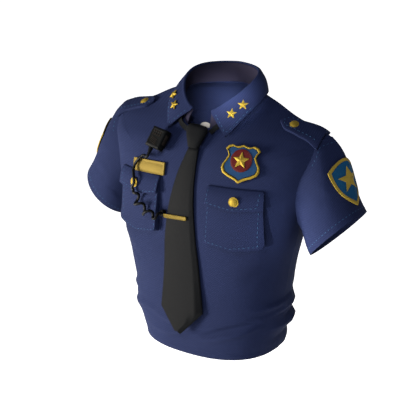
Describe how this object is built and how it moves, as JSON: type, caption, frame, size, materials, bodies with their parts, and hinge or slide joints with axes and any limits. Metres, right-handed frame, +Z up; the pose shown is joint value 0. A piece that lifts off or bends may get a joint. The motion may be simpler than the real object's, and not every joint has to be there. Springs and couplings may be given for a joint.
{
  "type": "police uniform shirt",
  "caption": "Short sleeved dress shirt worn hollow, with pointed collar, shoulder straps, tie with clasp, shield badge, flap pockets and a corded shoulder microphone.",
  "frame": {"origin": "centre of the neck at the level of the collar's base, where the wearer's neck and shoulders hold the shirt", "axes": "+Z up, -Y ahead of the wearer, +X to the wearer's left"},
  "size_m": [0.6308, 0.2531, 0.552],
  "materials": {
    "front_panel": "navy woven poly-cotton",
    "back_panel": "navy woven poly-cotton",
    "sleeve_left": "navy woven poly-cotton",
    "sleeve_right": "navy woven poly-cotton",
    "collar_stand": "navy woven poly-cotton",
    "collar_fall": "navy woven poly-cotton",
    "epaulette_left": "navy woven poly-cotton",
    "epaulette_right": "navy woven poly-cotton",
    "pocket_left": "navy woven poly-cotton",
    "pocket_right": "navy woven poly-cotton",
    "pocket_flap_left": "navy woven poly-cotton",
    "pocket_flap_right": "navy woven poly-cotton",
    "tie_blade": "charcoal woven tie cloth",
    "tie_knot": "charcoal woven tie cloth",
    "tie_loop": "charcoal woven tie cloth",
    "tie_clasp": "polished gilt",
    "badge_rim": "polished gilt",
    "badge_star": "polished gilt",
    "name_plate": "polished gilt",
    "pocket_button_left": "polished gilt",
    "pocket_button_right": "polished gilt",
    "epaulette_button_left": "polished gilt",
    "epaulette_button_right": "polished gilt",
    "collar_star_low_left": "polished gilt",
    "collar_star_high_left": "polished gilt",
    "collar_star_low_right": "polished gilt",
    "collar_star_high_right": "polished gilt",
    "badge_field": "blue enamel",
    "badge_disc": "red enamel",
    "patch_border_left": "gold embroidery thread",
    "patch_field_left": "blue embroidery twill",
    "patch_star_left": "gold embroidery thread",
    "patch_border_right": "gold embroidery thread",
    "patch_field_right": "blue embroidery twill",
    "patch_star_right": "gold embroidery thread",
    "mic_body": "moulded black",
    "mic_clip": "moulded black",
    "cord_keeper": "moulded black",
    "mic_strain_relief": "black cord jacket",
    "mic_cord_lead": "black cord jacket",
    "mic_cord_coil": "black cord jacket",
    "mic_cord_tail": "black cord jacket",
    "top_button": "cream polyester button"
  },
  "bodies": {
    "root": {"front_panel": "front_panel", "back_panel": "back_panel", "sleeve_left": "sleeve_left", "sleeve_right": "sleeve_right", "collar_stand": "collar_stand", "collar_fall": "collar_fall", "epaulette_left": "epaulette_left", "epaulette_right": "epaulette_right", "pocket_left": "pocket_left", "pocket_right": "pocket_right", "pocket_flap_left": "pocket_flap_left", "pocket_flap_right": "pocket_flap_right", "tie_blade": "tie_blade", "tie_knot": "tie_knot", "tie_loop": "tie_loop", "tie_clasp": "tie_clasp", "badge_rim": "badge_rim", "badge_star": "badge_star", "name_plate": "name_plate", "pocket_button_left": "pocket_button_left", "pocket_button_right": "pocket_button_right", "epaulette_button_left": "epaulette_button_left", "epaulette_button_right": "epaulette_button_right", "collar_star_low_left": "collar_star_low_left", "collar_star_high_left": "collar_star_high_left", "collar_star_low_right": "collar_star_low_right", "collar_star_high_right": "collar_star_high_right", "badge_field": "badge_field", "badge_disc": "badge_disc", "patch_border_left": "patch_border_left", "patch_field_left": "patch_field_left", "patch_star_left": "patch_star_left", "patch_border_right": "patch_border_right", "patch_field_right": "patch_field_right", "patch_star_right": "patch_star_right", "mic_body": "mic_body", "mic_clip": "mic_clip", "cord_keeper": "cord_keeper", "mic_strain_relief": "mic_strain_relief", "mic_cord_lead": "mic_cord_lead", "mic_cord_coil": "mic_cord_coil", "mic_cord_tail": "mic_cord_tail", "top_button": "top_button"}
  },
  "joints": []
}
